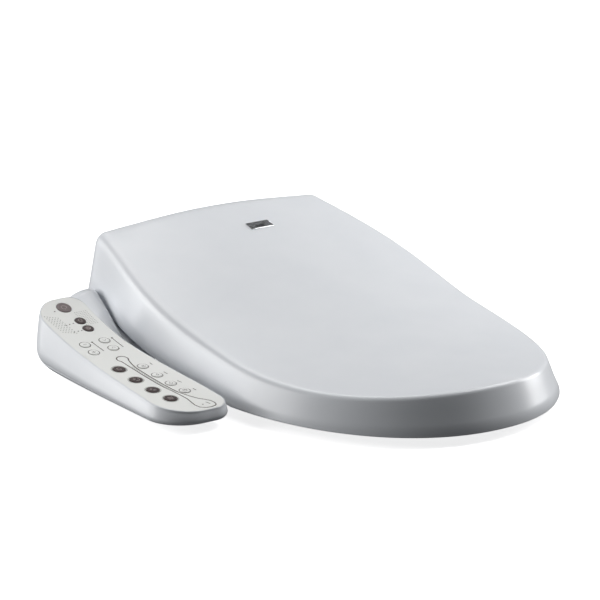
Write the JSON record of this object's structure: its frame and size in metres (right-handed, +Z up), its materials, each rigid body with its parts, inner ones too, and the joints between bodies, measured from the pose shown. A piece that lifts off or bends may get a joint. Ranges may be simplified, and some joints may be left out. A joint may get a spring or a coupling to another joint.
{
  "type": "electric bidet seat",
  "caption": "Heated bidet seat for a toilet with soft-closing lid, side control arm, washing wands, warm-air dryer, deodoriser and slide-on mounting plate.",
  "frame": {"origin": "midway between the two fixing slots, on the mounting plate's underside", "axes": "+Z up, -Y towards the front of the seat, -X towards the user's right hand, where the control arm is"},
  "size_m": [0.468, 0.5385, 0.1319],
  "materials": {
    "white_abs": "moulded gloss ABS",
    "grey_abs": "moulded ABS",
    "panel_film": "satin polycarbonate film",
    "circuit_board": "solder mask",
    "transformer_tape": "varnished tape",
    "plated_brass": "nickel-plated brass",
    "grey_nylon": "moulded nylon",
    "silicone_rubber": "extruded silicone",
    "zinc_steel": "zinc-plated",
    "dark_abs": "moulded ABS",
    "black_rubber": "moulded rubber",
    "white_polypropylene": "gloss",
    "heater_foil": "laminated foil",
    "soft_bumper": "soft moulded",
    "acetal": "moulded acetal",
    "lid_plastic": "polished moulded",
    "chrome_plate": "plated",
    "stainless_steel": "turned",
    "carbon_filter": "granules in a frame",
    "plate_plastic": "glass-filled polypropylene",
    "button_brown": "printed and hard-coated",
    "button_taupe": "printed and hard-coated"
  },
  "bodies": {
    "base": {"base_tray": "white_abs", "upper_casing": "white_abs", "arm_casing": "white_abs", "arm_cover": "grey_abs", "panel_plate": "panel_film", "panel_board": "circuit_board", "main_board": "circuit_board", "power_supply": "transformer_tape", "water_inlet": "plated_brass", "inlet_filter": "grey_abs", "solenoid_valve": "grey_nylon", "water_heater": "grey_abs", "diverter_valve": "grey_nylon", "water_hoses": "silicone_rubber", "nozzle_guide": "grey_nylon", "nozzle_motors": "zinc_steel", "deodoriser_housing": "grey_abs", "blower_housing": "dark_abs", "dryer_duct": "dark_abs", "seat_damper": "dark_abs", "lid_damper": "dark_abs", "casing_screws": "zinc_steel", "rubber_feet": "black_rubber", "cable_gland": "black_rubber"},
    "seat": {"seat_upper_shell": "white_polypropylene", "seat_lower_shell": "white_polypropylene", "seat_heater": "heater_foil", "seat_bumpers": "soft_bumper", "seat_bushes": "acetal"},
    "lid": {"lid_shell": "lid_plastic", "lid_badge": "chrome_plate", "lid_bumpers": "soft_bumper", "lid_bushes": "acetal"},
    "wand_rear": {"nozzle_wand_rear": "grey_nylon", "nozzle_tip_rear": "stainless_steel"},
    "wand_front": {"nozzle_wand_front": "grey_nylon", "nozzle_tip_front": "stainless_steel"},
    "pinion_rear": {"pinion_rear": "acetal"},
    "pinion_front": {"pinion_front": "acetal"},
    "impeller": {"dryer_impeller": "dark_abs"},
    "flap": {"dryer_flap": "white_abs"},
    "rotor": {"deodoriser_rotor": "dark_abs"},
    "filter": {"deodoriser_filter": "carbon_filter"},
    "plate": {"mounting_plate": "plate_plastic"},
    "release": {"release_button": "grey_abs"},
    "button_power": {"button_power": "button_taupe"},
    "button_water_temp": {"button_water_temp": "button_brown"},
    "button_seat_temp": {"button_seat_temp": "button_brown"},
    "button_pressure_less": {"button_pressure_less": "panel_film"},
    "button_pressure_more": {"button_pressure_more": "panel_film"},
    "button_position_back": {"button_position_back": "panel_film"},
    "button_position_front": {"button_position_front": "panel_film"},
    "button_pulse": {"button_pulse": "panel_film"},
    "button_eco": {"button_eco": "panel_film"},
    "button_light": {"button_light": "panel_film"},
    "button_child": {"button_child": "panel_film"},
    "button_stop": {"button_stop": "button_brown"},
    "button_rear_wash": {"button_rear_wash": "button_brown"},
    "button_front_wash": {"button_front_wash": "button_brown"},
    "button_dry": {"button_dry": "button_brown"}
  },
  "joints": [
    {"name": "seat_hinge", "type": "hinge", "parent": "base", "child": "seat", "pos_m": [0, 0.036, 0.072], "axis": [-1, 0, 0], "range_deg": [0, 93]},
    {"name": "lid_hinge", "type": "hinge", "parent": "seat", "child": "lid", "pos_m": [0, 0.036, 0.072], "axis": [1, 0, 0], "range_deg": [-96, 0]},
    {"name": "wand_rear_slide", "type": "slide", "parent": "base", "child": "wand_rear", "axis": [0, -0.9397, -0.342], "range_m": [0, 0.082]},
    {"name": "wand_front_slide", "type": "slide", "parent": "base", "child": "wand_front", "axis": [0, -0.9397, -0.342], "range_m": [0, 0.082]},
    {"name": "pinion_rear_spin", "type": "hinge", "parent": "base", "child": "pinion_rear", "pos_m": [-0.024, -0.04338, 0.02615], "axis": [0, -0.342, 0.9397], "range_deg": [-690, 0]},
    {"name": "pinion_front_spin", "type": "hinge", "parent": "base", "child": "pinion_front", "pos_m": [0.024, -0.04338, 0.02615], "axis": [0, -0.342, 0.9397], "range_deg": [0, 690]},
    {"name": "impeller_spin", "type": "hinge", "parent": "base", "child": "impeller", "pos_m": [0.066, 0.004, 0.02], "axis": [0, 0, 1], "continuous": true},
    {"name": "rotor_spin", "type": "hinge", "parent": "base", "child": "rotor", "pos_m": [-0.08, -0.006, 0.02], "axis": [0, 0, 1], "continuous": true},
    {"name": "flap_hinge", "type": "hinge", "parent": "base", "child": "flap", "pos_m": [0.062, -0.0965, 0.0164], "axis": [-1, 0, 0], "range_deg": [0, 75]},
    {"name": "filter_slide", "type": "slide", "parent": "base", "child": "filter", "axis": [0, 1, 0], "range_m": [0, 0.06]},
    {"name": "plate_slide", "type": "slide", "parent": "base", "child": "plate", "axis": [0, 1, 0], "range_m": [0, 0.06]},
    {"name": "release_press", "type": "slide", "parent": "base", "child": "release", "axis": [0, 0, 1], "range_m": [0, 0.004], "stiffness_N_per_m": 500, "springref_m": -0.001},
    {"name": "button_power_press", "type": "slide", "parent": "base", "child": "button_power", "axis": [0, 0.358, -0.9337], "range_m": [0, 0.0008], "stiffness_N_per_m": 400, "springref_m": -0.0005},
    {"name": "button_water_temp_press", "type": "slide", "parent": "base", "child": "button_water_temp", "axis": [0, 0.3011, -0.9536], "range_m": [0, 0.0008], "stiffness_N_per_m": 400, "springref_m": -0.0005},
    {"name": "button_seat_temp_press", "type": "slide", "parent": "base", "child": "button_seat_temp", "axis": [0, 0.2698, -0.9629], "range_m": [0, 0.0008], "stiffness_N_per_m": 400, "springref_m": -0.0005},
    {"name": "button_pressure_less_press", "type": "slide", "parent": "base", "child": "button_pressure_less", "axis": [0, 0.2188, -0.9758], "range_m": [0, 0.0008], "stiffness_N_per_m": 400, "springref_m": -0.0005},
    {"name": "button_pressure_more_press", "type": "slide", "parent": "base", "child": "button_pressure_more", "axis": [0, 0.1917, -0.9815], "range_m": [0, 0.0008], "stiffness_N_per_m": 400, "springref_m": -0.0005},
    {"name": "button_position_back_press", "type": "slide", "parent": "base", "child": "button_position_back", "axis": [0, 0.2205, -0.9754], "range_m": [0, 0.0008], "stiffness_N_per_m": 400, "springref_m": -0.0005},
    {"name": "button_position_front_press", "type": "slide", "parent": "base", "child": "button_position_front", "axis": [0, 0.1931, -0.9812], "range_m": [0, 0.0008], "stiffness_N_per_m": 400, "springref_m": -0.0005},
    {"name": "button_pulse_press", "type": "slide", "parent": "base", "child": "button_pulse", "axis": [0, 0.1397, -0.9902], "range_m": [0, 0.0008], "stiffness_N_per_m": 400, "springref_m": -0.0005},
    {"name": "button_eco_press", "type": "slide", "parent": "base", "child": "button_eco", "axis": [0, 0.1263, -0.992], "range_m": [0, 0.0008], "stiffness_N_per_m": 400, "springref_m": -0.0005},
    {"name": "button_light_press", "type": "slide", "parent": "base", "child": "button_light", "axis": [0, 0.1221, -0.9925], "range_m": [0, 0.0008], "stiffness_N_per_m": 400, "springref_m": -0.0005},
    {"name": "button_child_press", "type": "slide", "parent": "base", "child": "button_child", "axis": [0, 0.1257, -0.9921], "range_m": [0, 0.0008], "stiffness_N_per_m": 400, "springref_m": -0.0005},
    {"name": "button_stop_press", "type": "slide", "parent": "base", "child": "button_stop", "axis": [0, 0.1427, -0.9898], "range_m": [0, 0.0008], "stiffness_N_per_m": 400, "springref_m": -0.0005},
    {"name": "button_rear_wash_press", "type": "slide", "parent": "base", "child": "button_rear_wash", "axis": [0, 0.126, -0.992], "range_m": [0, 0.0008], "stiffness_N_per_m": 400, "springref_m": -0.0005},
    {"name": "button_front_wash_press", "type": "slide", "parent": "base", "child": "button_front_wash", "axis": [0, 0.1224, -0.9925], "range_m": [0, 0.0008], "stiffness_N_per_m": 400, "springref_m": -0.0005},
    {"name": "button_dry_press", "type": "slide", "parent": "base", "child": "button_dry", "axis": [0, 0.1296, -0.9916], "range_m": [0, 0.0008], "stiffness_N_per_m": 400, "springref_m": -0.0005}
  ],
  "couplings": [
    {"joint": "pinion_front_spin", "follows": "wand_front_slide", "rad_per_m": 142.86},
    {"joint": "pinion_rear_spin", "follows": "wand_rear_slide", "rad_per_m": -142.86}
  ]
}
